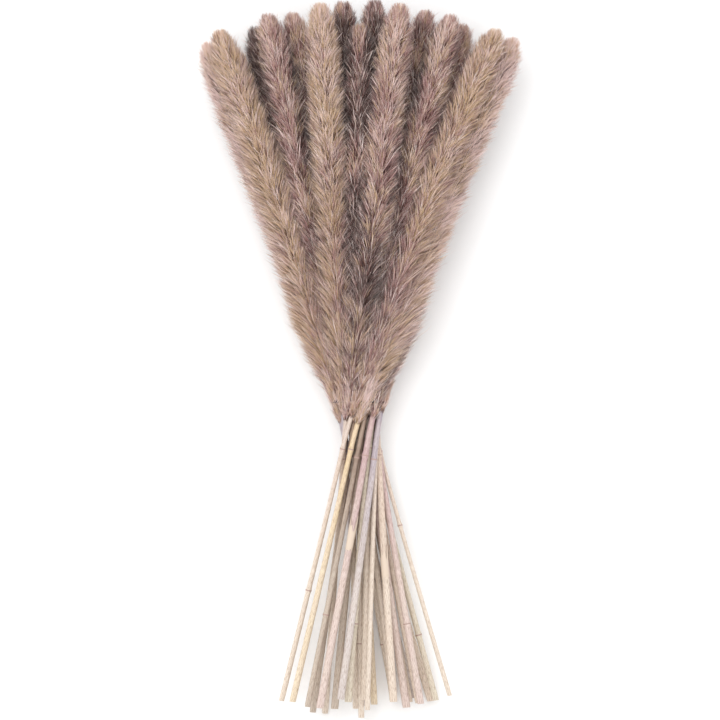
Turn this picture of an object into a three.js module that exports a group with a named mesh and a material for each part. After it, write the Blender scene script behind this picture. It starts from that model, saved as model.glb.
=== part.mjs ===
// A bundle of dried, plumed reeds, bound at the neck with an elastic band and lying on a table.
// Every reed is two pieces: a bare stem, from its cut end to just above the band, and the soft
// plume that it carries. Millimetres, +Z up. The plumes point to +Y and the cut ends to -Y.
// While the reeds are laid out, y = 0 is the neck, where they cross and are bound; the finished
// group is then moved so that its origin is on the table, under its own middle.
import * as THREE from "three";

// ---- Lengths along the bundle ----
const STEM_LENGTH = 168; // from the neck down to the longest cut end
const PLUME_START = 34; // from the neck up to where a plume begins
const PLUME_LENGTH = 243; // from there to the highest plume tip
const FAN_Y = PLUME_START + PLUME_LENGTH;

// ---- The fan of plumes ----
const FAN_FROM = 18; // from the neck up to where the reeds begin to fan out
const FAN_HALF = 105.5; // from the middle out to the outermost reeds, level with the highest tip
const FAN_FLARE = 1.18; // over 1, the reeds curve outwards towards their tips
const ARCH = 24; // how much lower the outermost tips are than the middle ones
const PILE_RISE = 14.6; // between two rows of plumes, where they are full
const PILE_DROOP = 0.3; // share of its height that a row loses at the fan's edge
const PILE_SWELL = 2.4; // how soon the rows part and the lowest lies on the table: 1 is evenly
const TIP_SCATTER = 2; // how much the tips differ in height

// ---- The neck: rows of stems, turned round the bundle's own axis ----
const NECK_PITCH = 3.3; // between two stems of one row
const NECK_ROW_RISE = 5; // between two rows
const NECK_MIDDLE = 20; // height of its middle above the table
const NECK_TURN = THREE.MathUtils.degToRad(90); // so right-hand reeds cross over left-hand ones
const NECK_BEND = 12; // the length over which a reed bends at the neck
const LOOSE = 1.8; // how many times wider the neck is before the reeds are drawn together

// ---- The splayed cut ends ----
const SPLAY = 0.79; // their spread, as a share of that of straight reeds
const SPLAY_SCATTER = 0.2; // share by which the reeds differ in it
const CUT_SHIFT = 5; // how far the cut ends lean to +X as a whole
const CUT_ARCH = 14; // how much shorter the outermost stems are cut
const CUT_SCATTER = 13; // how much the cuts differ in length

// ---- One reed ----
const STEM_R_NECK = 1.5;
const STEM_R_CUT = 2;
const STEM_R_SCATTER = 0.28; // share by which stems differ in thickness
const PLUME_R = 7.5; // the dense middle of a plume; finer hairs stand beyond it
const PLUME_R_START = 1.75;
const PLUME_OPENS = 0.045; // growth of a plume's radius per millimetre of its length
const PLUME_TIP = 16; // the length over which it rounds off at the tip
const PRESSED = 1.6; // how far the lowest plumes are pressed flat on the table
const STEM_PRESSED = 0.25; // and the lowest stems
const JOIN_GAP = 0.3; // between a stem and its plume
const REED_GAP = 0.4; // between two reeds

// ---- The band ----
const BAND_Y = 30.5; // its middle, above the neck
const BAND_WIDTH = 3;
const BAND_THICKNESS = 0.8;
const BAND_GAP = 0.4; // between the band and the stems

// ---- Roundness ----
const SIDES = 8;
const TIP_STEPS = [0.5, 0.83]; // rings inside a plume's rounded tip, as shares of PLUME_TIP
const LEAST_STEP = 3; // between two rings

// A reed's middle line is straight between these stations: shares of STEM_LENGTH below the neck
// and of FAN_Y above it.
const STATIONS_DOWN = [1, 0.8, 0.6, 0.42, 0.27, 0.15, 0.06];
const STATIONS_UP = [0.012, 0.045, 0.1, 0.17, 0.26, 0.38, 0.52, 0.67, 0.83, 1];
const STATIONS = [
  ...STATIONS_DOWN.map((share) => -share * STEM_LENGTH),
  ...STATIONS_UP.map((share) => share * FAN_Y),
];

// ---- Settling ----
const PASSES = 600;
const CALM = 0.75; // the share of the passes after which the reeds only part
const STIFFNESS = 0.45; // how strongly a reed straightens in one pass
const RETURN = 0.06; // how strongly it goes back to its place in the pile
const TOUCH_SHARES = [0, 0.5]; // reeds part at a station and half-way to the next one
const IN_LINE = 1e-6; // square millimetres: three points that span less are in one line

// The rows of the pile from the top one down: where each plume points, as a share of FAN_HALF,
// how far its tip stays below the arch, and its colour.
const ROWS = [
  {
    fan: [-0.89, -0.235, 0.24, 0.87],
    below: [0, 2, 1, 0],
    colour: ["tan", "tan", "mauve", "tan"],
  },
  {
    fan: [-1, -0.56, 0.01, 0.56, 1],
    below: [1, 1, 16, 1, 0],
    colour: ["mauve", "mauve", "brown", "mauve", "mauve"],
  },
  {
    fan: [-0.66, -0.41, -0.1, 0.09, 0.4, 0.65],
    below: [6, 3, 0, 0, 3, 5],
    colour: ["brown", "mauve", "brown", "brown", "mauve", "tan"],
  },
  {
    fan: [-0.86, -0.53, -0.32, 0.22, 0.49, 0.72],
    below: [13, 20, 15, 20, 15, 19],
    colour: ["brown", "brown", "mauve", "brown", "mauve", "brown"],
  },
  {
    fan: [-0.7, -0.37, -0.03, 0.34, 0.7],
    below: [30, 27, 24, 27, 30],
    colour: ["tan", "mauve", "brown", "mauve", "tan"],
  },
];
const PLUME_COLOURS = { tan: 0xb19482, mauve: 0x9d807a, brown: 0x87675f };

const { clamp, lerp } = THREE.MathUtils;

// A number from -1 to 1 that differs from reed to reed and is the same every time: the fraction
// that is left of a sine made very large.
function scatter(reed, kind) {
  const [reedTurn, kindTurn, large] = [12.9898, 78.233, 43758.5453];
  const x = Math.sin(reed * reedTurn + kind * kindTurn) * large;
  return 2 * (x - Math.floor(x)) - 1;
}

// The length to one side of a smooth bend at the neck: about 0 on the near side, y on the far one.
const beyondNeck = (y) => (y + Math.hypot(y, NECK_BEND)) / 2;

function stemRadius(reed, y) {
  const share = clamp((PLUME_START - y) / (PLUME_START + STEM_LENGTH), 0, 1);
  return lerp(STEM_R_NECK, STEM_R_CUT, share) * reed.thickness;
}

// A plume's radius where it has all the room it wants.
const plumeRadius = (y) => Math.min(PLUME_R, PLUME_R_START + PLUME_OPENS * (y - PLUME_START));

const wantedRadius = (reed, y) => (y < PLUME_START ? stemRadius(reed, y) : plumeRadius(y));

// The lowest that a reed's middle line can be.
const floorAt = (reed, y) => wantedRadius(reed, y) - (y < PLUME_START ? STEM_PRESSED : PRESSED);

// Where a reed's middle line is at height y.
function pointAt(reed, y) {
  let k = 1;
  while (k < STATIONS.length - 1 && STATIONS[k] < y) k++;
  const share = (y - STATIONS[k - 1]) / (STATIONS[k] - STATIONS[k - 1]);
  const [below, above] = [reed.line[k - 1], reed.line[k]];
  return { x: lerp(below.x, above.x, share), z: lerp(below.z, above.z, share) };
}

// A reed as first guessed: out to its place in the pile, and as straight as it goes below.
function guessLine(neck, top, splay, size) {
  return STATIONS.map((y) => {
    const up = beyondNeck(y - FAN_FROM) / (FAN_Y - FAN_FROM);
    const down = beyondNeck(-y) / FAN_Y;
    const open = 1 - (1 - Math.min(up, 1)) ** PILE_SWELL;
    const x = neck.x * size;
    const across = up ** FAN_FLARE - down * splay;
    const z = NECK_MIDDLE + neck.z * size;
    return {
      x: x + (top.x - x) * across + CUT_SHIFT * down * (FAN_Y / STEM_LENGTH),
      z: z + (top.z - z) * (open - down * splay),
    };
  });
}

function layOut() {
  const reeds = [];
  const middleRow = (ROWS.length - 1) / 2;
  ROWS.forEach((row, k) => {
    const level = ROWS.length - 1 - k; // rows that lie below this one
    row.fan.forEach((share, j) => {
      const n = reeds.length + 1;
      const across = (j - (row.fan.length - 1) / 2) * NECK_PITCH;
      const over = (middleRow - k) * NECK_ROW_RISE;
      const neck = {
        x: across * Math.cos(NECK_TURN) - over * Math.sin(NECK_TURN),
        z: across * Math.sin(NECK_TURN) + over * Math.cos(NECK_TURN),
      };
      const top = {
        x: share * FAN_HALF,
        z: PLUME_R - PRESSED + level * PILE_RISE * (1 - PILE_DROOP * share * share),
      };
      const splay = SPLAY * (1 + SPLAY_SCATTER * scatter(n, 13));
      reeds.push({
        n,
        thickness: 1 + STEM_R_SCATTER * scatter(n, 1),
        colour: row.colour[j],
        tipY: FAN_Y - ARCH * share ** 2 - row.below[j] - (TIP_SCATTER * (scatter(n, 3) + 1)) / 2,
        home: guessLine(neck, top, splay, 1),
        line: guessLine(neck, top, splay, LOOSE),
      });
    });
  });
  return reeds;
}

// Moves two reeds apart if they are too close at a share of the way from one station to the next.
function partTwo(a, b, k, share) {
  const next = Math.min(k + 1, STATIONS.length - 1);
  const y = lerp(STATIONS[k], STATIONS[next], share);
  const offset = (key, at) => b.line[at][key] - a.line[at][key];
  const dx = lerp(offset("x", k), offset("x", next), share);
  const dz = lerp(offset("z", k), offset("z", next), share);
  const apart = Math.hypot(dx, dz);
  const wanted = wantedRadius(a, y) + wantedRadius(b, y) + REED_GAP;
  if (apart >= wanted) return;
  const push = (wanted - apart) / 2 / apart;
  for (const end of share > 0 ? [k, next] : [k]) {
    a.line[end].x -= dx * push;
    a.line[end].z -= dz * push;
    b.line[end].x += dx * push;
    b.line[end].z += dz * push;
  }
}

// One pass of a reed straightening and going back to its place.
function relax(reed) {
  const { line, home } = reed;
  for (const key of ["x", "z"]) {
    for (let k = 1; k < STATIONS.length - 1; k++) {
      const share = (STATIONS[k] - STATIONS[k - 1]) / (STATIONS[k + 1] - STATIONS[k - 1]);
      const straight = lerp(line[k - 1][key], line[k + 1][key], share);
      line[k][key] += (straight - line[k][key]) * STIFFNESS;
    }
    for (let k = 0; k < STATIONS.length; k++) {
      line[k][key] += (home[k][key] - line[k][key]) * RETURN;
    }
  }
}

// Draws the reeds together while they keep clear of each other and of the table.
function settle(reeds) {
  for (let pass = 0; pass < PASSES; pass++) {
    if (pass < PASSES * CALM) reeds.forEach(relax);
    for (let k = 0; k < STATIONS.length; k++) {
      for (const share of TOUCH_SHARES) {
        reeds.forEach((a, i) => reeds.slice(i + 1).forEach((b) => partTwo(a, b, k, share)));
      }
      for (const reed of reeds) {
        reed.line[k].z = Math.max(reed.line[k].z, floorAt(reed, STATIONS[k]));
      }
    }
  }
}

// How far each stem's cut end reaches: the outer ones are cut shorter, all a little unevenly.
function cutStems(reeds) {
  const widest = Math.max(...reeds.map((reed) => Math.abs(reed.line[0].x)));
  const uneven = (reed) => (CUT_SCATTER * (scatter(reed.n, 4) + 1)) / 2;
  const least = Math.min(...reeds.map(uneven));
  for (const reed of reeds) {
    const outward = (reed.line[0].x / widest) ** 2;
    reed.cutY = -STEM_LENGTH + (uneven(reed) - least) * (1 - outward) + CUT_ARCH * outward;
  }
}

// A radius at height y that leaves the neighbours their half of the gap.
function roomyRadius(reed, reeds, y, wanted) {
  const here = pointAt(reed, y);
  let room = wanted;
  for (const other of reeds) {
    if (other === reed) continue;
    const there = pointAt(other, y);
    const apart = Math.hypot(here.x - there.x, here.z - there.z) - JOIN_GAP;
    const theirs = wantedRadius(other, y);
    room = Math.min(room, (apart * wanted) / (wanted + theirs));
  }
  return room;
}

// A solid with round rings, each { y, r }, that follows a reed and is flat where it meets the table.
function solidAlong(reed, rings) {
  const profile = [new THREE.Vector2(0, rings[0].y)];
  for (const ring of rings) profile.push(new THREE.Vector2(ring.r, ring.y));
  if (profile.at(-1).x > 0) profile.push(new THREE.Vector2(0, rings.at(-1).y));
  const solid = new THREE.LatheGeometry(profile, SIDES);
  solid.rotateY(Math.PI / SIDES); // a flat side is down
  const place = solid.getAttribute("position");
  for (let i = 0; i < place.count; i++) {
    const at = pointAt(reed, place.getY(i));
    const z = Math.max(place.getZ(i) + at.z, 0);
    place.setXYZ(i, place.getX(i) + at.x, place.getY(i), z);
  }
  return solid;
}

// The heights of the rings of a solid from one height to another.
function ringHeights(from, to) {
  const inside = STATIONS.filter((y) => y > from + LEAST_STEP && y < to - LEAST_STEP);
  return [from, ...inside, to];
}

function stemGeometry(reed, reeds) {
  const rings = ringHeights(reed.cutY, PLUME_START - JOIN_GAP).map((y) => ({
    y,
    r: roomyRadius(reed, reeds, y, stemRadius(reed, y)),
  }));
  return solidAlong(reed, rings);
}

function plumeGeometry(reed, reeds) {
  const shoulder = reed.tipY - PLUME_TIP;
  const rings = ringHeights(PLUME_START, shoulder).map((y) => ({
    y,
    r: roomyRadius(reed, reeds, y, plumeRadius(y)),
  }));
  const full = rings.at(-1).r;
  for (const share of TIP_STEPS) {
    rings.push({ y: shoulder + share * PLUME_TIP, r: full * Math.sqrt(1 - share * share) });
  }
  rings.push({ y: reed.tipY, r: 0 });
  return solidAlong(reed, rings);
}

// The convex outline round a set of points, anticlockwise.
function hull(points) {
  const sorted = [...points].sort((a, b) => a.x - b.x || a.y - b.y);
  const side = (list) => {
    const found = [];
    for (const p of list) {
      while (found.length > 1) {
        const [a, b] = found.slice(-2);
        if ((b.x - a.x) * (p.y - a.y) - (b.y - a.y) * (p.x - a.x) > IN_LINE) break;
        found.pop();
      }
      found.push(p);
    }
    return found.slice(0, -1);
  };
  return [...side(sorted), ...side(sorted.reverse())];
}

// The outline of all the stems where the band crosses them, grown by a margin.
function outlineAtBand(reeds, margin) {
  const around = 3 * SIDES;
  const points = [];
  for (const reed of reeds) {
    for (const y of [BAND_Y - BAND_WIDTH / 2, BAND_Y, BAND_Y + BAND_WIDTH / 2]) {
      const at = pointAt(reed, y);
      const r = stemRadius(reed, y) + margin;
      for (let i = 0; i < around; i++) {
        const angle = (2 * Math.PI * i) / around;
        points.push(new THREE.Vector2(at.x + r * Math.cos(angle), at.z + r * Math.sin(angle)));
      }
    }
  }
  return hull(points);
}

function bandGeometry(reeds) {
  const shape = new THREE.Shape(outlineAtBand(reeds, BAND_GAP + BAND_THICKNESS));
  shape.holes.push(new THREE.Path(outlineAtBand(reeds, BAND_GAP)));
  const ring = new THREE.ExtrudeGeometry(shape, { depth: BAND_WIDTH, bevelEnabled: false });
  ring.rotateX(Math.PI / 2); // the outline's second axis becomes Z, and it is extruded towards -Y
  ring.translate(0, BAND_Y + BAND_WIDTH / 2, 0);
  return ring;
}

// ---- Finishes ----
const stemFinish = () =>
  new THREE.MeshStandardMaterial({ color: 0xd8c4ae, roughness: 0.6, metalness: 0 });
const plumeFinish = (colour) =>
  new THREE.MeshStandardMaterial({
    color: PLUME_COLOURS[colour],
    roughness: 0.95,
    metalness: 0,
  });
const bandFinish = () =>
  new THREE.MeshStandardMaterial({ color: 0x2a2425, roughness: 0.5, metalness: 0 });

function piece(name, geometry, finish) {
  const mesh = new THREE.Mesh(geometry, finish);
  mesh.name = name;
  return mesh;
}

const reeds = layOut();
settle(reeds);
cutStems(reeds);
const bundle = new THREE.Group();
for (const reed of reeds) {
  const number = String(reed.n).padStart(2, "0");
  const whole = new THREE.Group();
  whole.add(piece(`stem_${number}`, stemGeometry(reed, reeds), stemFinish()));
  whole.add(piece(`plume_${number}`, plumeGeometry(reed, reeds), plumeFinish(reed.colour)));
  bundle.add(whole);
}
bundle.add(piece("tie_band", bandGeometry(reeds), bandFinish()));

// The origin: on the table, under the middle of the bundle's own box.
const box = new THREE.Box3().setFromObject(bundle);
const middle = box.getCenter(new THREE.Vector3());
bundle.position.set(-middle.x, -middle.y, -box.min.z);

const part = new THREE.Group();
part.add(bundle);
export default part;
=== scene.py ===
"""Looks of the bundle of dried reeds: soft plumes, bare stems and an elastic band, on a pale table.

Every plume is a dark core, painted shade that stands in for the shade deep in the fur, with
thousands of fine hairs, each a narrow pointed ribbon, that grow in tufts out of it and upwards.
Every stem is a stalk with nodes and streaks and a cut, hollow end. All of them follow the middle
lines of the CAD solids, which this script reads back from the frame.
Metres, +Z up.
"""

import math
from types import SimpleNamespace

import bpy
import numpy as np
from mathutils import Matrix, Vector


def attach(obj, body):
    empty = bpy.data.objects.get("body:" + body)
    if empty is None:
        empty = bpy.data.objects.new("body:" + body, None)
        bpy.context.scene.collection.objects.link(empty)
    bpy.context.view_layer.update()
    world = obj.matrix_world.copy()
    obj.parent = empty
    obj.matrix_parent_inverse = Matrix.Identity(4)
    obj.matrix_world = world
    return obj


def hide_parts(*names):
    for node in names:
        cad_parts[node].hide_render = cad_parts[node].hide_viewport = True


MM = 0.001
TINY = 1e-12
UV_NAME = "OFBake"

# Seeds of the random draws; a reed's number is added to each.
HAIR_SEED = 7
STEM_SEED = 107
LOWEST_HAIR_SEED = 207

# ---- Reeds: which colours they have, and which plumes are coloured darker as painted shade ----
REEDS = 26
PLUME_LOOKS = {
    "plume_tan": [1, 2, 4, 15, 22, 26],
    "plume_mauve": [3, 5, 6, 8, 9, 11, 14, 18, 20, 23, 25],
    # Painted shade: these plumes, at the back of the pile, take darker tones.
    "plume_brown": [7, 10, 12, 13, 16, 17, 19, 21, 24],
}
STEM_LOOKS = {
    "cream": [3, 4, 6, 7, 11, 13, 19, 22, 25],
    "straw": [9, 12],
    "peach": [5, 10, 17, 24],
    "pink": [18, 21, 23],
    "lavender": [1, 2, 26],
    "green": [16, 20],
    "bark": [8, 14, 15],
}

# ---- Middle lines ----
CAD_SIDES = 8
CAD_TIP_RINGS = 3  # the rings of a CAD plume that round off its tip
RING_SPLIT = 0.2 * MM  # two rings of a CAD solid are further apart than this
LINE_STEP = 1 * MM
LINE_SMOOTH = 9 * MM  # over this length the corners of the CAD line are rounded

# ---- The outline of a plume's fur ----
# Heights above its lowest hairs, and how far it reaches from the middle line there.
FUR_HEIGHTS = (0 * MM, 6 * MM, 14 * MM, 26 * MM, 42 * MM, 68 * MM, 114 * MM, 255 * MM)
FUR_RADII = (3.6 * MM, 5.4 * MM, 6.2 * MM, 7.4 * MM, 12.4 * MM, 17.4 * MM, 15 * MM, 12.4 * MM)
FUR_FLAT = 0.5  # share of its reach that the fur's lowest part loses to either side
FUR_FLAT_TO = 30 * MM  # above this height it loses none
FUR_START = (10 * MM, 19 * MM)  # how far below the CAD plume its lowest hairs begin
FUR_DOME = 28 * MM  # over this length it closes at the tip
FUR_CLOSED = 0.97  # and how far it closes: 1 is to a point
FUR_BEYOND = 5 * MM  # how far the highest hairs stand beyond the CAD plume

# ---- Tufts ----
TUFTS = 2200
HAIRS_PER_TUFT = 10
TUFT_ANGLE_SCATTER = 0.3  # radians
TUFT_SWIRL = 0.12  # how far the tips of a tuft turn round the plume, in radians
TUFT_STAND = (0.72, 1.06)  # how far out a tuft's tip is, as a share of the fur's reach
TUFT_GATHER = 0.35  # the most that the hairs of a tuft draw together at their tips

# ---- Hairs ----
HAIR_REACH = (7 * MM, 12.5 * MM)  # how far the hairs of a tuft climb along the plume
REACH_SCATTER = (0.65, 1.1)  # and how they differ from each other in it
STAND_SCATTER = (0.82, 1.04)  # how they differ in how far out they stand
HAIR_LEAN = math.tan(math.radians(36))  # the most that a hair leans out from the plume
HAIR_SPIN = 0.22  # how hairs are scattered round their tuft's angle, in radians
ROOT_SPIN = 0.25  # and their roots round that
ROOT_DEPTH = (0.35, 0.95)  # where in the core a hair's root is, as a share of the core's radius
ROOTS_CLOSE = 20 * MM  # over this length at the tip the roots draw in
ROOTS_LEAST = 0.04  # to the square root of this share
LOWEST_ROOTS = 4 * MM  # the lowest roots are scattered over this height, and tips begin above it
TIP_SCATTER = 1.5 * MM  # how the tips of a tuft are scattered along the plume
HAIR_LEAST = 3 * MM  # the least that a hair climbs
STRAY_SHARE = 0.07  # share of the hairs that are light and stand out of the fur
STRAY_STAND = (1 * MM, 3.5 * MM)  # how far they stand out of it
HAIR_SAG = (0.05, 0.06)  # how much a hair bends, as a share of its length, and the scatter of that
HAIR_ROLL = 1.2  # the most that a ribbon is rolled about its own length, in radians
HAIR_WIDTH = 0.26 * MM
WIDTH_SCATTER = (0.7, 1.3)
HAIR_SHAPE = ((0.0, 0.8), (0.45, 1.0), (0.82, 0.7))  # places along a hair, and its width there
NORMAL_OUT = 0.75  # a hair's shading follows the plume's round surface by this much
NORMAL_OWN = 0.65  # and the ribbon's own face by this much
FLOOR_GAP = 0.3 * MM
FLOOR_SCATTER = 1.2 * MM  # hairs that lie on the table are scattered over this height
# Hairs that would begin under the band begin further down, this far below it, and pass over it.
BAND_COVER = 4 * MM
BAND_COVER_SCATTER = 3 * MM

# ---- A plume's dark core, which closes the view through the hairs: painted shade, a dark tube that stands in for the shade deep in the fur ----
CORE_SHARE = 0.7  # its radius, as a share of the CAD plume's
CORE_RINGS = 60
CORE_SIDES = 10
CORE_BELOW = 2 * MM  # it begins this far below the CAD plume
CORE_SHORT = 5 * MM  # and ends this far below its tip
CORE_POINT = 4 * MM  # the core would come to a point this far below it
CORE_DOME = 16 * MM  # over this length it closes
CORE_CLOSED = 0.02  # to the square root of this share
# Painted shade: the core takes a dark tone, at the darkened root of the hair's texture.
SHADE_CORE_UV = (0.8, 0.05)  # where its tone is in the hair's texture: a dark one, at the root

# ---- Stems ----
STEM_SIDES = 16
STEM_RINGS = 110
STEM_INTO_PLUME = 6 * MM
STEM_LOWEST = 0.02 * MM  # a swollen node is flat where it meets the table
STEM_WOBBLE = 0.012  # share by which a stem's thickness varies along it
WOBBLE_SMOOTH = 9  # rings over which that is evened out
NODE_SWELL = 0.36 * MM
NODE_LENGTH = 1.3 * MM
NODE_LINE = 0.4 * MM  # half the height of a node's darker ring
NODE_RINGS = 25  # more rings near each node, for its swelling
NODE_SPAN = 6  # how far they reach from it to either side, as a multiple of NODE_LINE
NODE_ABOVE = (32 * MM, 40 * MM)  # the highest nodes are this far below the stems' tops
SECOND_NODE = 0.3  # share of the stems that have one more
SECOND_NODE_AT = (0.1, 0.62)  # where it is along the stem
BORE = 0.5  # the hollow's radius, as a share of the stem's
BORE_END = 0.02  # and that of the middle of its closed end
BORE_DEPTH = 6 * MM
RIM = 0.94  # the cut end's outer radius, as a share of the stem's
SHEATHED = {21: 0.5, 24: 0.4}  # which stems have a sheath, and where along them
SHEATH_LENGTH = 24 * MM
SHEATH_SHORTEST = 0.45  # the ragged top edge goes down to this share of the length
SHEATH_UNEVEN = 2 * MM  # how uneven its lower edge is
SHEATH_GAP = 0.22 * MM
SHEATH_OPENS = 1.2  # how much wider that gap is at the top
SHEATH_HALF = 1.7  # how far it reaches round the stem to either side of the top, in radians
SHEATH_TURN = 0.6  # the most that it is turned
SHEATH_SIDES = 10
SHEATH_STEPS = 9

# The slots of a stem's materials.
SKIN, NODE_RING, CUT_RIM, HOLLOW, SHEATH = range(5)


def unit(v):
    """The rows of v, each made one long."""
    return v / np.maximum(np.linalg.norm(v, axis=-1, keepdims=True), TINY)


def rings_of(node):
    """The rings of a CAD solid from low y up: rows of x, y, z of the middle, and radius."""
    co = np.array([v.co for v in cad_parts[node].data.vertices], float)
    co = co[np.argsort(co[:, 1])]
    corner = math.cos(math.pi / CAD_SIDES)
    rings = []
    for ring in np.split(co, np.where(np.diff(co[:, 1]) > RING_SPLIT)[0] + 1):
        radius = np.ptp(ring[:, 0]) / 2 / corner
        middle = (ring[:, 0].min() + ring[:, 0].max()) / 2
        rings.append((middle, ring[:, 1].mean(), ring[:, 2].max() - radius * corner, radius))
    return np.array(rings)


def smooth(values, width):
    """A moving average, twice over, that keeps both ends."""
    kernel = np.ones(width) / width
    for _ in range(2):
        before = 2 * values[0] - values[width - 1 : 0 : -1]
        after = 2 * values[-1] - values[-2 : -width - 1 : -1]
        padded = np.concatenate([before, values, after])
        values = np.convolve(padded, kernel, "same")[width - 1 : -(width - 1)]
    return values


class Line:
    """A reed's smooth middle line, known at every height y from the cut end to the plume's tip."""

    def __init__(self, number):
        stem = rings_of(f"stem_{number:02d}")
        plume = rings_of(f"plume_{number:02d}")
        self.cut, self.top = stem[0, 1], stem[-1, 1]
        self.start, self.tip = plume[0, 1], plume[-1, 1]
        below = np.random.default_rng(LOWEST_HAIR_SEED + number).uniform(*FUR_START)
        self.fur_low = self.start - below
        self.fur_high = self.tip + FUR_BEYOND
        both = np.vstack([stem, plume])
        self.y = np.arange(self.cut, self.tip + LINE_STEP, LINE_STEP)
        width = int(LINE_SMOOTH / LINE_STEP)
        self.x = smooth(np.interp(self.y, both[:, 1], both[:, 0]), width)
        self.z = smooth(np.interp(self.y, both[:, 1], both[:, 2]), width)
        self.stem_radius = smooth(np.interp(self.y, stem[:, 1], stem[:, 3]), width)
        full = plume[:-CAD_TIP_RINGS]
        self.core_radius = smooth(np.interp(self.y, full[:, 1], full[:, 3]), width)

    def at(self, y):
        """Points on the line at heights y."""
        return np.stack([np.interp(y, self.y, self.x), y, np.interp(y, self.y, self.z)], -1)

    def along(self, y):
        """The line's direction at heights y."""
        return unit(self.at(y + 2 * LINE_STEP) - self.at(y - 2 * LINE_STEP))

    def frames(self, y):
        """The line's direction, and two directions across it: roughly +X and +Z."""
        t = self.along(y)
        side = unit(np.cross(t, (0.0, 0.0, 1.0)))
        return t, side, np.cross(side, t)

    def place(self, y, radius, spin):
        """Points round the line, and the directions out to them."""
        _, side, up = self.frames(y)
        out = side * np.cos(spin)[:, None] + up * np.sin(spin)[:, None]
        return self.at(y) + out * radius[:, None], out


def make_mesh(name, vertices, faces, uvs, materials, normals, material_of=None):
    """A mesh object. faces is a list of arrays, one row a face, each array of one material; uvs
    and normals have a row for every vertex."""
    loops = np.concatenate([f.ravel() for f in faces])
    sizes = np.concatenate([np.full(len(f), f.shape[1]) for f in faces])
    starts = np.concatenate([[0], np.cumsum(sizes)[:-1]])
    mesh = bpy.data.meshes.new(name)
    mesh.vertices.add(len(vertices))
    mesh.vertices.foreach_set("co", vertices.astype(np.float32).ravel())
    mesh.loops.add(len(loops))
    mesh.loops.foreach_set("vertex_index", loops.astype(np.int32))
    mesh.polygons.add(len(sizes))
    mesh.polygons.foreach_set("loop_start", starts.astype(np.int32))
    mesh.polygons.foreach_set("use_smooth", np.ones(len(sizes), bool))
    layer = mesh.uv_layers.new(name=UV_NAME)
    layer.data.foreach_set("uv", uvs[loops].astype(np.float32).ravel())
    for material in materials:
        mesh.materials.append(material)
    if material_of is not None:
        slots = np.concatenate([np.full(len(f), m) for f, m in zip(faces, material_of)])
        mesh.polygons.foreach_set("material_index", slots.astype(np.int32))
    mesh.update(calc_edges=True)
    mesh.normals_split_custom_set_from_vertices(unit(normals).astype(np.float32))
    piece = bpy.data.objects.new(name, mesh)
    bpy.context.scene.collection.objects.link(piece)
    return piece


# ---------------------------------------------------------------- materials

# Colours are given as 0 to 255 for the screen.
BLACK = (0, 0, 0)
WHITE = (255, 255, 255)
SPECULAR = 0.25
SHEEN_ROUGHNESS = 0.5
HAIR_ROUGHNESS = 0.75
HAIR_SHEEN = 0.2
STEM_ROUGHNESS = 0.55


def principled(name, roughness, sheen=0.0):
    """A new material, and its shader."""
    material = bpy.data.materials.new(name)
    material.use_nodes = True
    shader = material.node_tree.nodes["Principled BSDF"]
    shader.inputs["Roughness"].default_value = roughness
    shader.inputs["Specular IOR Level"].default_value = SPECULAR
    shader.inputs["Sheen Weight"].default_value = sheen
    shader.inputs["Sheen Roughness"].default_value = SHEEN_ROUGHNESS
    return material, shader


def linear(colour):
    """A screen colour as the shader wants it, by the sRGB curve."""
    c = np.array(colour) / 255
    return (*np.where(c <= 0.04045, c / 12.92, ((c + 0.055) / 1.055) ** 2.4), 1.0)


def ramp(nodes, links, value, stops):
    """The colour that a value has on a scale of (place, screen colour) stops."""
    node = nodes.new("ShaderNodeValToRGB")
    elements = node.color_ramp.elements
    while len(elements) < len(stops):
        elements.new(0.5)
    for element, (place, colour) in zip(elements, stops):
        element.position = place
        element.color = linear(colour)
    links.new(value, node.inputs["Fac"])
    return node.outputs["Color"]


def mix(nodes, links, kind, factor, a, b):
    """Two colours mixed; factor, a and b are values or other nodes' outputs."""
    node = nodes.new("ShaderNodeMix")
    node.data_type = "RGBA"
    node.blend_type = kind
    for socket, value in (("Factor", factor), ("A", a), ("B", b)):
        target = [s for s in node.inputs if s.name == socket and s.enabled][0]
        if isinstance(value, bpy.types.NodeSocket):
            links.new(value, target)
        else:
            target.default_value = value
    return [s for s in node.outputs if s.enabled][0]


def uv_parts(nodes, links):
    """The place in the texture, and its two parts."""
    uv = nodes.new("ShaderNodeUVMap")
    uv.uv_map = UV_NAME
    parts = nodes.new("ShaderNodeSeparateXYZ")
    links.new(uv.outputs["UV"], parts.inputs["Vector"])
    return uv.outputs["UV"], parts.outputs["X"], parts.outputs["Y"]


# The scale of hair tones, from light to dark.
HAIR_TONES = [
    (244, 230, 222),
    (232, 204, 200),
    (219, 191, 168),
    (208, 175, 130),
    (198, 165, 138),
    (196, 154, 150),
    (166, 120, 118),
    (132, 94, 86),
    (82, 58, 54),
]
TONE_COLUMNS = 32  # columns of the hair's texture, each of one tone
COLUMN_EDGE = 0.2  # a hair keeps this far from its column's edges
COLUMN_LOW, COLUMN_HIGH = 0.02, 0.98  # where a hair begins and ends in its column
# Painted shade: a hair's root is coloured darker, as the shade deep in the fur.
ROOT_SHADE = (118, 98, 90)  # a hair's root is darker: its tone is multiplied by this
ROOT_TO = 0.5  # place along the hair up to which it is
# Partly the hairs' own paler tips and partly painted light: the thin tips are coloured lighter, as
# light shining through them.
PALE_AND_LIT_TIP = (244, 230, 224)  # its tip is lighter: it tends to this
PALE_AND_LIT_FROM = 0.62  # from this place on
PALE_AND_LIT_SHARE = (165, 165, 165)  # this much of white, at the tip


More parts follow.
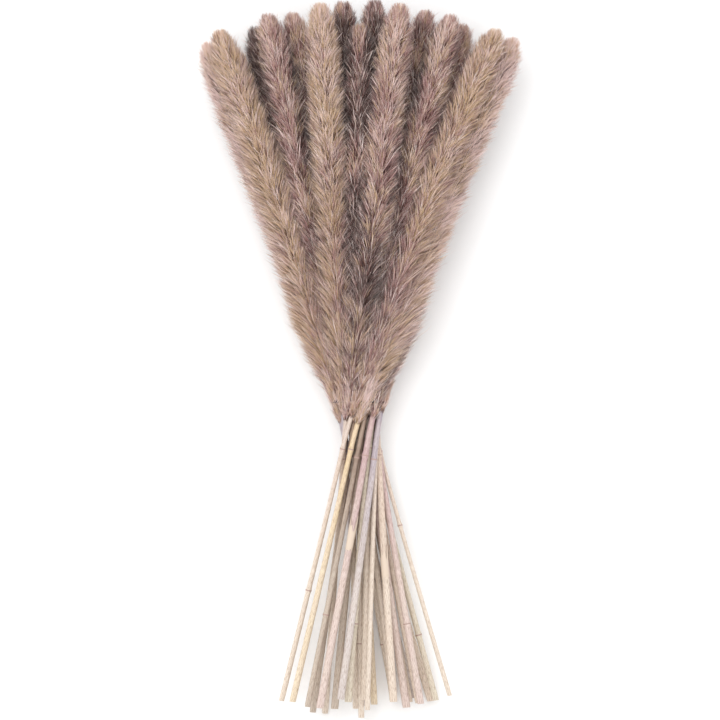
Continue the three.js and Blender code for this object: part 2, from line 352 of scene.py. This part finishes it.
def hair_material(name):
    """Hairs: a tone for every column, and in it a root coloured darker as painted shade and a tip
    made paler, partly as painted light.
    """
    material, shader = principled(name, HAIR_ROUGHNESS, HAIR_SHEEN)
    nodes, links = material.node_tree.nodes, material.node_tree.links
    _, u, v = uv_parts(nodes, links)
    last = len(HAIR_TONES) - 1
    tone = ramp(nodes, links, u, [(i / last, colour) for i, colour in enumerate(HAIR_TONES)])
    shade = ramp(nodes, links, v, [(0.0, ROOT_SHADE), (ROOT_TO, WHITE), (1.0, WHITE)])
    pale_and_lit = ramp(nodes, links, v, [(0.0, BLACK), (PALE_AND_LIT_FROM, BLACK), (1.0, PALE_AND_LIT_SHARE)])
    body = mix(nodes, links, "MULTIPLY", 1.0, tone, shade)
    tipped = mix(nodes, links, "MIX", pale_and_lit, body, linear(PALE_AND_LIT_TIP))
    links.new(tipped, shader.inputs["Base Color"])
    return material


# A stem's light and dark streaks, and the tint of its patches.
STEM_COLOURS = {
    "cream": ((232, 216, 202), (200, 181, 166), (220, 204, 196)),
    "straw": ((236, 214, 174), (208, 180, 140), (230, 208, 186)),
    "peach": ((228, 206, 190), (194, 170, 154), (218, 202, 190)),
    "pink": ((212, 182, 184), (176, 142, 148), (206, 186, 180)),
    "lavender": ((194, 184, 194), (152, 142, 156), (204, 192, 192)),
    "green": ((218, 210, 188), (180, 170, 148), (220, 206, 192)),
    "bark": ((164, 140, 126), (104, 84, 74), (182, 162, 146)),
}
PATCH_SHARE = (200, 200, 200)  # how much of the tint a patch has: this much of white
GRAIN_DARK = (200, 188, 178)
STEM_PALE = (236, 226, 211)  # low down, all of them are more like this
STEM_PALE_SHARE = (192, 192, 192)  # this much of white, at the cut end
STEM_PALE_TO = (0.4, 0.85)  # it fades between these places along the stem

# Noises on a stem: blotches round it and along it, detail, and the values between which it turns
# from its first colour to its second.
STREAKS = ((22, 2.6), 4, (0.34, 0.6))
PATCHES = ((1.5, 9), 3, (0.45, 0.62))
GRAIN = ((64, 60), 3, (0.36, 0.54))


def blotches(nodes, links, uv, kind, first, second):
    """Noise over the stem that goes from the first colour to the second."""
    scale, detail, (low, high) = kind
    stretch = nodes.new("ShaderNodeMapping")
    stretch.inputs["Scale"].default_value = (*scale, 1)
    links.new(uv, stretch.inputs["Vector"])
    texture = nodes.new("ShaderNodeTexNoise")
    texture.inputs["Scale"].default_value = 1.0
    texture.inputs["Detail"].default_value = detail
    links.new(stretch.outputs["Vector"], texture.inputs["Vector"])
    return ramp(nodes, links, texture.outputs["Fac"], [(low, first), (high, second)])


def stem_material(look):
    """A stem's skin: streaks, tinted patches and grain, and paler low down."""
    light, dark, tint = STEM_COLOURS[look]
    material, shader = principled(f"stem_{look}", STEM_ROUGHNESS)
    nodes, links = material.node_tree.nodes, material.node_tree.links
    uv, _, v = uv_parts(nodes, links)
    streaks = blotches(nodes, links, uv, STREAKS, dark, light)
    patches = blotches(nodes, links, uv, PATCHES, BLACK, PATCH_SHARE)
    colour = mix(nodes, links, "MIX", patches, streaks, linear(tint))
    full, none = STEM_PALE_TO
    stops = [(0.0, STEM_PALE_SHARE), (full, STEM_PALE_SHARE), (none, BLACK)]
    pale = ramp(nodes, links, v, stops)
    colour = mix(nodes, links, "MIX", pale, colour, linear(STEM_PALE))
    grain = blotches(nodes, links, uv, GRAIN, GRAIN_DARK, WHITE)
    colour = mix(nodes, links, "MULTIPLY", 1.0, colour, grain)
    links.new(colour, shader.inputs["Base Color"])
    return material


# Plain materials: colour and roughness.
PLAIN_LOOKS = {
    "stem_node": ((176, 148, 138), 0.6),
    "stem_rim": ((214, 192, 160), 0.8),
    # Painted shade: the hollow inside a cut end is coloured dark, as the shade in it.
    "stem_hollow_shade": ((74, 56, 44), 0.9),
    "stem_sheath": ((216, 198, 180), 0.6),
    "band_rubber": ((44, 38, 40), 0.6),
    "floor_white": ((252, 252, 252), 0.9),
}


def plain_material(name):
    """A material of one colour."""
    colour, roughness = PLAIN_LOOKS[name]
    material, shader = principled(name, roughness)
    shader.inputs["Base Color"].default_value = linear(colour)
    return material


# ---------------------------------------------------------------- plumes

# Where each look's tufts lie on the scale of tones, 0 to 1: (share of tufts, tone, scatter).
TUFT_TONES = {
    "plume_tan": ((0.6, 0.4, 0.05), (0.25, 0.2, 0.06), (0.15, 0.62, 0.08)),
    "plume_mauve": ((0.6, 0.69, 0.05), (0.25, 0.17, 0.06), (0.15, 0.45, 0.08)),
    # Painted shade: the plumes at the back of the pile take these darker tones.
    "plume_brown": ((0.6, 0.86, 0.05), (0.2, 0.66, 0.06), (0.2, 0.42, 0.08)),
}
WAVES = 4  # the patches of one tone come from this many waves
WAVE_COUNT = (2, 7)  # each with this many crests along the plume
WAVE_STRENGTH = 0.55
WAVE_SCATTER = 0.18
BELOW_ONE = 0.999  # the darkest tone, which is still inside the last column
ROUNDING = 1e-6  # so that the shares of a look leave no gap between them
LIGHTEST = 0.14  # only stray hairs have lower tones than this
STRAY_TONE = (0, 0.25)
TONE_JITTER = 0.1  # how much the hairs of one tuft differ
# Painted shade: the deeper a hair lies in the pile, the darker it is coloured, as the shade in
# there: from and to these depths, by this much tone.
SHADE_DEPTHS = (6 * MM, 21 * MM)
DEPTH_SHADE_TONE = 0.34
NEAR = 19 * MM  # plumes whose middle lines are this near in x lie over each other
FAR = 1.0  # metres, further out than anything in the bundle
# Painted shade: the bundle's middle is coloured darker than its edges: here, over these lengths, by
# this much tone.
SHADED_MIDDLE = (6 * MM, 50 * MM)
SHADED_MIDDLE_SIZE = (30 * MM, 72 * MM)
MIDDLE_SHADE_TONE = 0.43
# The seed heads that are still closed at the tips of two plumes are darker, by this much tone.
CLOSED = [10, 15]
CLOSED_FROM = 0.965  # share of the plume's height
CLOSED_TONE = 0.3
# Some plumes are lighter (less than 0) or darker than others of their colour.
REED_TONE = {2: -0.1, 3: -0.1, 4: 0.03, 5: -0.52, 9: -0.52, 11: -0.12, 14: -0.05}


def tuft_tones(rng, look, height, angle):
    """A tone for every tuft: patches along the plume, and some scatter."""
    wave = np.zeros(len(height))
    for _ in range(WAVES):
        turns = rng.integers(-1, 2)
        crests = rng.uniform(*WAVE_COUNT)
        phase = rng.uniform(0, 2 * math.pi)
        wave += np.sin(crests * 2 * math.pi * height + turns * angle + phase) / WAVES
    rank = 0.5 + WAVE_STRENGTH * wave + rng.normal(0, WAVE_SCATTER, len(height))
    rank = np.clip(rank, 0, BELOW_ONE)
    tones = np.zeros(len(height))
    low = 0.0
    for share, tone, spread in TUFT_TONES[look]:
        here = (rank >= low) & (rank < low + share + ROUNDING)
        tones[here] = tone + rng.normal(0, spread, here.sum())
        low += share
    return tones


def fur_radius(line, y):
    """How far the fur reaches from a plume's middle line at height y."""
    dome = np.clip((y - (line.fur_high - FUR_DOME)) / FUR_DOME, 0, 1)
    return np.interp(y - line.fur_low, FUR_HEIGHTS, FUR_RADII) * np.sqrt(1 - FUR_CLOSED * dome**2)


# Used for painted shade: how deep a hair lies sets how much darker it is coloured.
def depth_in_pile(points):
    """How far points lie below the pile's surface, seen from the nearest of its four sides."""
    x = np.stack([np.interp(points[:, 1], line.y, line.x) for line in lines.values()])
    z = np.stack([np.interp(points[:, 1], line.y, line.z) for line in lines.values()])
    radius = np.stack([fur_radius(line, points[:, 1]) for line in lines.values()])
    present = np.stack([line.tip > points[:, 1] for line in lines.values()])
    near = present & (np.abs(x - points[:, 0]) < NEAR)
    over = np.where(near, z + radius, -FAR).max(0) - points[:, 2]
    under = points[:, 2] - np.where(near, z - radius, FAR).min(0)
    left = points[:, 0] - np.where(present, x - radius, FAR).min(0)
    right = np.where(present, x + radius, -FAR).max(0) - points[:, 0]
    return np.clip(np.minimum(np.minimum(over, under), np.minimum(left, right)), 0, None)


def make_tufts(look, rng, count):
    """The tufts of one plume, from low to high, and which of them each hair is in."""
    tufts = SimpleNamespace(count=count)
    number = np.arange(count)
    tufts.height = (number + rng.uniform(0, 1, count)) / count
    golden_angle = math.pi * (3 - math.sqrt(5))
    tufts.angle = number * golden_angle + rng.normal(0, TUFT_ANGLE_SCATTER, count)
    tufts.tone = tuft_tones(rng, look, tufts.height, tufts.angle)
    tufts.reach = rng.uniform(*HAIR_REACH, count)
    tufts.swirl = rng.normal(0, TUFT_SWIRL, count)
    tufts.stand = rng.uniform(*TUFT_STAND, count)
    tufts.of_hair = np.repeat(number, HAIRS_PER_TUFT)
    return tufts


def hair_ends(line, tufts, rng):
    """Each hair's root and tip, the direction out of the plume, and whether it is a stray one."""
    low, high = line.fur_low, line.fur_high
    one = tufts.of_hair
    n = len(one)
    climb = tufts.reach[one] * rng.uniform(*REACH_SCATTER, n)
    stray = rng.uniform(0, 1, n) < STRAY_SHARE
    tip_y = low + LOWEST_ROOTS + tufts.height[one] * (high - low - LOWEST_ROOTS)
    tip_y = tip_y + rng.normal(0, TIP_SCATTER, n)
    tip_y = np.minimum(tip_y, high - rng.uniform(0, TIP_SCATTER, n))
    tip_radius = fur_radius(line, tip_y) * tufts.stand[one] * rng.uniform(*STAND_SCATTER, n)
    tip_radius = tip_radius + stray * rng.uniform(*STRAY_STAND, n)
    beyond_core = tip_radius - np.interp(tip_y, line.y, line.core_radius)
    climb = np.maximum(climb, beyond_core / HAIR_LEAN)
    root_y = np.maximum(tip_y - climb, low + rng.uniform(0, LOWEST_ROOTS, n))
    under_band = (root_y > band_low - BAND_COVER) & (root_y < band_high)
    below_band = band_low - BAND_COVER - rng.uniform(0, BAND_COVER_SCATTER, n)
    root_y = np.where(under_band, below_band, root_y)
    tip_y = np.maximum(tip_y, root_y + HAIR_LEAST)

    spin = tufts.angle[one] + rng.normal(0, HAIR_SPIN, n)
    core = np.interp(root_y, line.y, line.core_radius)
    core = core * np.sqrt(np.clip((high - root_y) / ROOTS_CLOSE, ROOTS_LEAST, 1))
    root_radius = core * rng.uniform(*ROOT_DEPTH, n)
    root, _ = line.place(root_y, root_radius, spin + rng.normal(0, ROOT_SPIN, n))
    low_down = np.clip(1 - (tip_y - low) / FUR_FLAT_TO, 0, 1)
    tip_radius = tip_radius * (1 - FUR_FLAT * low_down * np.abs(np.cos(spin)))
    tip, out = line.place(tip_y, tip_radius, spin + tufts.swirl[one])

    # Hairs of one tuft draw together towards the tip of its first one.
    first = np.arange(tufts.count) * HAIRS_PER_TUFT
    gather = rng.uniform(0.0, TUFT_GATHER, n) * ~stray
    tip += (tip[first][one] - tip) * gather[:, None]
    return root, tip, out, stray


def hair_ribbons(root, tip, out, rng):
    """A narrow pointed ribbon from each root to its tip: vertices, faces and normals."""
    n = len(root)
    way = tip - root
    size = np.linalg.norm(way, axis=1)[:, None]
    way = way / size
    sag = out * (size * rng.normal(*HAIR_SAG, n)[:, None])
    roll = rng.uniform(-HAIR_ROLL, HAIR_ROLL, n)[:, None]
    across = unit(np.cross(way, out))
    face = unit(np.cross(across, way))
    flat = across * np.cos(roll) + face * np.sin(roll)
    width = HAIR_WIDTH * rng.uniform(*WIDTH_SCATTER, n)[:, None]

    def middle(share):
        return root + way * size * share - sag * 4 * share * (1 - share)

    rows = []
    for share, wide in HAIR_SHAPE:
        rows.append(middle(share) - flat * width * wide / 2)
        rows.append(middle(share) + flat * width * wide / 2)
    rows.append(middle(1.0))
    vertices = np.stack(rows, 1)
    lowest = FLOOR_GAP + rng.uniform(0, FLOOR_SCATTER, n)[:, None]
    vertices[:, :, 2] = np.maximum(vertices[:, :, 2], lowest)

    base = np.arange(n)[:, None] * len(rows)
    quads = np.concatenate([base + np.array([0, 1, 3, 2]), base + np.array([2, 3, 5, 4])])
    ends = base + np.array([4, 5, 6])
    facing = face * np.cos(roll) - across * np.sin(roll)
    normals = np.repeat((out * NORMAL_OUT + facing * NORMAL_OWN)[:, None, :], len(rows), 1)
    return vertices.reshape(-1, 3), [quads, ends], normals.reshape(-1, 3)


def hair_tones(number, tufts, tip, stray, rng):
    """Each hair's place on the scale of tones."""
    one = tufts.of_hair
    n = len(one)
    # Painted shade: hairs deep in the pile are given darker tones.
    depth_shade = np.clip((depth_in_pile(tip) - SHADE_DEPTHS[0]) / (SHADE_DEPTHS[1] - SHADE_DEPTHS[0]), 0, 1)
    # Painted shade: tones darker towards the bundle's middle.
    off_shaded_middle = (((tip[:, :2] - SHADED_MIDDLE) / SHADED_MIDDLE_SIZE) ** 2).sum(1)
    shift = DEPTH_SHADE_TONE * depth_shade + MIDDLE_SHADE_TONE * np.exp(-off_shaded_middle) + REED_TONE.get(number, 0)
    if number in CLOSED:
        shift = shift + CLOSED_TONE * (tufts.height[one] > CLOSED_FROM)
    tones = tufts.tone[one] + rng.normal(0, TONE_JITTER, n) + shift
    tones = np.where(stray, rng.uniform(*STRAY_TONE, n), np.maximum(tones, LIGHTEST))
    return np.clip(tones, 0, BELOW_ONE)


def hair_uvs(tones):
    """A hair's vertices lie in the texture's column of its tone, from the root up."""
    column = np.floor(tones * TONE_COLUMNS)[:, None]
    u = np.array([COLUMN_EDGE, 1 - COLUMN_EDGE] * len(HAIR_SHAPE) + [0.5])
    v = np.array([share for share, _ in HAIR_SHAPE for _ in (0, 1)] + [1.0])
    v = COLUMN_LOW + (COLUMN_HIGH - COLUMN_LOW) * v
    return np.stack(np.broadcast_arrays((column + u) / TONE_COLUMNS, v), -1).reshape(-1, 2)


def tube(centres, frames, radii, sides):
    """Vertices, faces and normals of a round tube along centres, open at its ends."""
    _, side, up = frames
    angle = np.arange(sides) * 2 * math.pi / sides
    out = side[:, None] * np.cos(angle)[:, None] + up[:, None] * np.sin(angle)[:, None]
    vertices = (centres[:, None] + out * radii[:, None, None]).reshape(-1, 3)
    ring = np.arange(len(centres) - 1)[:, None] * sides
    i = ring + np.arange(sides)
    j = ring + (np.arange(sides) + 1) % sides
    quads = np.stack([i, i + sides, j + sides, j], -1).reshape(-1, 4)
    return vertices, quads, out.reshape(-1, 3)


def shade_core(line):
    """Vertices, faces, texture places and normals of a plume's dark core, painted shade inside the
    fur.
    """
    y = np.linspace(line.start - CORE_BELOW, line.tip - CORE_SHORT, CORE_RINGS)
    radius = np.interp(y, line.y, line.core_radius) * CORE_SHARE
    radius *= np.sqrt(np.clip((line.tip - CORE_POINT - y) / CORE_DOME, CORE_CLOSED, 1))
    centres = line.at(y)
    centres[:, 2] = np.maximum(centres[:, 2], radius + FLOOR_GAP)
    vertices, quads, out = tube(centres, line.frames(y), radius, CORE_SIDES)
    return vertices, quads, np.tile(SHADE_CORE_UV, (len(vertices), 1)), out


def make_plume(number, look, material):
    """A plume: its hairs and its dark core of painted shade, as one piece."""
    line = lines[number]
    rng = np.random.default_rng(HAIR_SEED + number)
    tufts = make_tufts(look, rng, TUFTS)
    root, tip, out, stray = hair_ends(line, tufts, rng)
    vertices, faces, normals = hair_ribbons(root, tip, out, rng)
    uvs = hair_uvs(hair_tones(number, tufts, tip, stray, rng))
    core, shade_core_faces, shade_core_uvs, shade_core_normals = shade_core(line)
    piece = make_mesh(
        f"plume_hair_{number:02d}",
        np.vstack([vertices, core]),
        [*faces, shade_core_faces + len(vertices)],
        np.vstack([uvs, shade_core_uvs]),
        [material],
        np.vstack([normals, shade_core_normals]),
    )
    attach(piece, "root")
    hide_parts(f"plume_{number:02d}")


# ---------------------------------------------------------------- stems


class Pieces:
    """Vertices, faces, texture places and normals that are gathered into one mesh."""

    def __init__(self):
        self.vertices, self.faces, self.uvs, self.normals, self.material_of = [], [], [], [], []
        self.count = 0

    def add(self, vertices, faces, uvs, normals, material):
        self.vertices.append(vertices)
        self.faces.append(faces + self.count)
        self.uvs.append(uvs)
        self.normals.append(normals)
        self.material_of.append(material)
        self.count += len(vertices)

    def mesh(self, name, materials):
        parts = (np.vstack(self.vertices), self.faces, np.vstack(self.uvs))
        return make_mesh(name, *parts, materials, np.vstack(self.normals), self.material_of)


def stem_rings(line, y, radius, v, pieces, material, facing="out"):
    """Adds the tube through rings at heights y. facing says where its normals point."""
    t, side, up = line.frames(y)
    vertices, quads, normals = tube(line.at(y), (t, side, up), radius, STEM_SIDES)
    vertices[:, 2] = np.maximum(vertices[:, 2], STEM_LOWEST)
    u = (np.arange(STEM_SIDES) + 0.5) / STEM_SIDES
    uvs = np.stack(np.broadcast_arrays(u[None, :], v[:, None]), -1).reshape(-1, 2)
    if facing == "in":
        normals = -normals
    if facing == "down":
        normals = np.repeat(-t, STEM_SIDES, 0)
    pieces.add(vertices, quads, uvs, normals, material)


def cut_end(line, radius, pieces):
    """The square cut, its paler rim and the hollow inside it, coloured dark as painted shade."""
    inside = line.cut + BORE_DEPTH
    v = np.zeros(2)

    def rings(heights, shares, material, facing):
        radii = radius * np.array(shares)
        stem_rings(line, np.array(heights), radii, v, pieces, material, facing)

    rings((inside, inside), (BORE_END, BORE), HOLLOW, "down")
    rings((inside, line.cut), (BORE, BORE), HOLLOW, "in")
    rings((line.cut, line.cut), (BORE, RIM), CUT_RIM, "down")


def sheath(line, height, rng, pieces):
    """What is left of a leaf sheath: a thin ragged shell round part of the stem."""
    turn = rng.uniform(-SHEATH_TURN, SHEATH_TURN)
    angle = np.linspace(-SHEATH_HALF, SHEATH_HALF, SHEATH_SIDES) + math.pi / 2 + turn
    share = np.linspace(0, 1, SHEATH_STEPS)
    low = height + rng.uniform(0, SHEATH_UNEVEN, SHEATH_SIDES)
    high = height + SHEATH_LENGTH * rng.uniform(SHEATH_SHORTEST, 1, SHEATH_SIDES)
    y = (low + (high - low) * share[:, None]).ravel()
    gap = SHEATH_GAP * (1 + SHEATH_OPENS * np.repeat(share, SHEATH_SIDES) ** 2)
    radius = np.interp(y, line.y, line.stem_radius) + gap
    vertices, out = line.place(y, radius, np.tile(angle, SHEATH_STEPS))
    i = np.arange(SHEATH_STEPS - 1)[:, None] * SHEATH_SIDES + np.arange(SHEATH_SIDES - 1)
    quads = np.stack([i, i + SHEATH_SIDES, i + SHEATH_SIDES + 1, i + 1], -1).reshape(-1, 4)
    pieces.add(vertices, quads, np.zeros((len(vertices), 2)), out, SHEATH)


def make_stem(number, materials):
    """A hollow stalk from its cut end into its plume, with one or two nodes."""
    line = lines[number]
    length = line.top - line.cut
    rng = np.random.default_rng(STEM_SEED + number)
    nodes = [line.top - rng.uniform(*NODE_ABOVE)]
    if rng.uniform() < SECOND_NODE:
        nodes.append(line.cut + rng.uniform(*SECOND_NODE_AT) * length)
    heights = [np.linspace(line.cut, line.start + STEM_INTO_PLUME, STEM_RINGS)]
    for node in nodes:
        heights.append(node + np.linspace(-NODE_SPAN, NODE_SPAN, NODE_RINGS) * NODE_LINE)
    y = np.sort(np.concatenate(heights))
    radius = np.interp(y, line.y, line.stem_radius)
    for node in nodes:
        radius = radius + NODE_SWELL * np.exp(-(((y - node) / NODE_LENGTH) ** 2))
    wobble = np.cumsum(rng.normal(0, 1, len(y)))
    wobble = smooth(wobble - np.linspace(wobble[0], wobble[-1], len(y)), WOBBLE_SMOOTH)
    radius = radius * (1 + STEM_WOBBLE * wobble / max(1.0, np.abs(wobble).max()))
    full = radius[1]
    radius[0] *= RIM
    v = (y - line.cut) / (line.start - line.cut)

    pieces = Pieces()
    cut_end(line, full, pieces)

    def stretch(first, last, material):
        part = slice(first, last + 1)
        stem_rings(line, y[part], radius[part], v[part], pieces, material)

    done = 0
    for node in sorted(nodes):
        low, high = np.searchsorted(y, [node - NODE_LINE, node + NODE_LINE])
        stretch(done, low, SKIN)
        stretch(low, high, NODE_RING)
        done = high
    stretch(done, len(y) - 1, SKIN)
    if number in SHEATHED:
        sheath(line, line.cut + SHEATHED[number] * length, rng, pieces)
    piece = pieces.mesh(f"stalk_{number:02d}", materials)
    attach(piece, "root")
    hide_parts(f"stem_{number:02d}")


# ---------------------------------------------------------------- scene

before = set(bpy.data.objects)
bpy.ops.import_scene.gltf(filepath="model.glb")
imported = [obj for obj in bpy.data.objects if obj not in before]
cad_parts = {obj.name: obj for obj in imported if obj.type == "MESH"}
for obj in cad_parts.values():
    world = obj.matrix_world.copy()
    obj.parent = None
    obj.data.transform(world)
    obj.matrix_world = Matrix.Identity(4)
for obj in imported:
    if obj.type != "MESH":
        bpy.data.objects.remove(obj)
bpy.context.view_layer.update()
lines = {n: Line(n) for n in range(1, REEDS + 1)}
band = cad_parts["tie_band"]
band_low, band_high = (pick(v.co.y for v in band.data.vertices) for pick in (min, max))

for look, numbers in PLUME_LOOKS.items():
    material = hair_material(look)
    for number in numbers:
        make_plume(number, look, material)

# In the order of a stem's slots, after its skin.
stem_details = [
    plain_material("stem_node"),
    plain_material("stem_rim"),
    plain_material("stem_hollow_shade"),
    plain_material("stem_sheath"),
]
for look, numbers in STEM_LOOKS.items():
    material = stem_material(look)
    for number in numbers:
        make_stem(number, [material, *stem_details])

band.data.materials.clear()
band.data.materials.append(plain_material("band_rubber"))

# The table: a large pale plane at z = 0.
TABLE_SIZE = 12
bpy.ops.mesh.primitive_plane_add(size=TABLE_SIZE, location=(0, 0, 0))
floor = bpy.context.object
floor.name = "floor"
floor.data.materials.append(plain_material("floor_white"))

# ---- Light: an even white surround, and a soft lamp from the upper left ----
SURROUND_STRENGTH = 1.08
LAMP_PLACE = (-0.45, 0.55, 1.7)
LAMP_SIZE = 1.4
LAMP_POWER = 12

world = bpy.data.worlds.new("studio")
bpy.context.scene.world = world
world.use_nodes = True
surround = world.node_tree.nodes["Background"]
surround.inputs["Color"].default_value = (1, 1, 1, 1)
surround.inputs["Strength"].default_value = SURROUND_STRENGTH

lamp_data = bpy.data.lights.new("key", "AREA")
lamp_data.shape = "DISK"
lamp_data.size = LAMP_SIZE
lamp_data.energy = LAMP_POWER
lamp = bpy.data.objects.new("key", lamp_data)
lamp.location = LAMP_PLACE
lamp.rotation_euler = (-Vector(LAMP_PLACE)).to_track_quat("-Z", "Y").to_euler()
bpy.context.scene.collection.objects.link(lamp)

# ---- Camera: straight above, so that the bundle's length fills the picture's height ----
PICTURE_SPAN = 0.452  # metres of table along the picture's side
CAMERA_HEIGHT = 4.0
CAMERA_AIM = (0.0, 0.0015)
CAMERA_REACH = 20
SENSOR = 36.0

camera_data = bpy.data.cameras.new("camera")
camera_data.sensor_width = SENSOR
camera_data.lens = SENSOR * CAMERA_HEIGHT / PICTURE_SPAN
camera_data.clip_end = CAMERA_REACH
camera = bpy.data.objects.new("camera", camera_data)
camera.location = (*CAMERA_AIM, CAMERA_HEIGHT)
bpy.context.scene.collection.objects.link(camera)
bpy.context.scene.camera = camera

bpy.context.scene.view_settings.view_transform = "Standard"
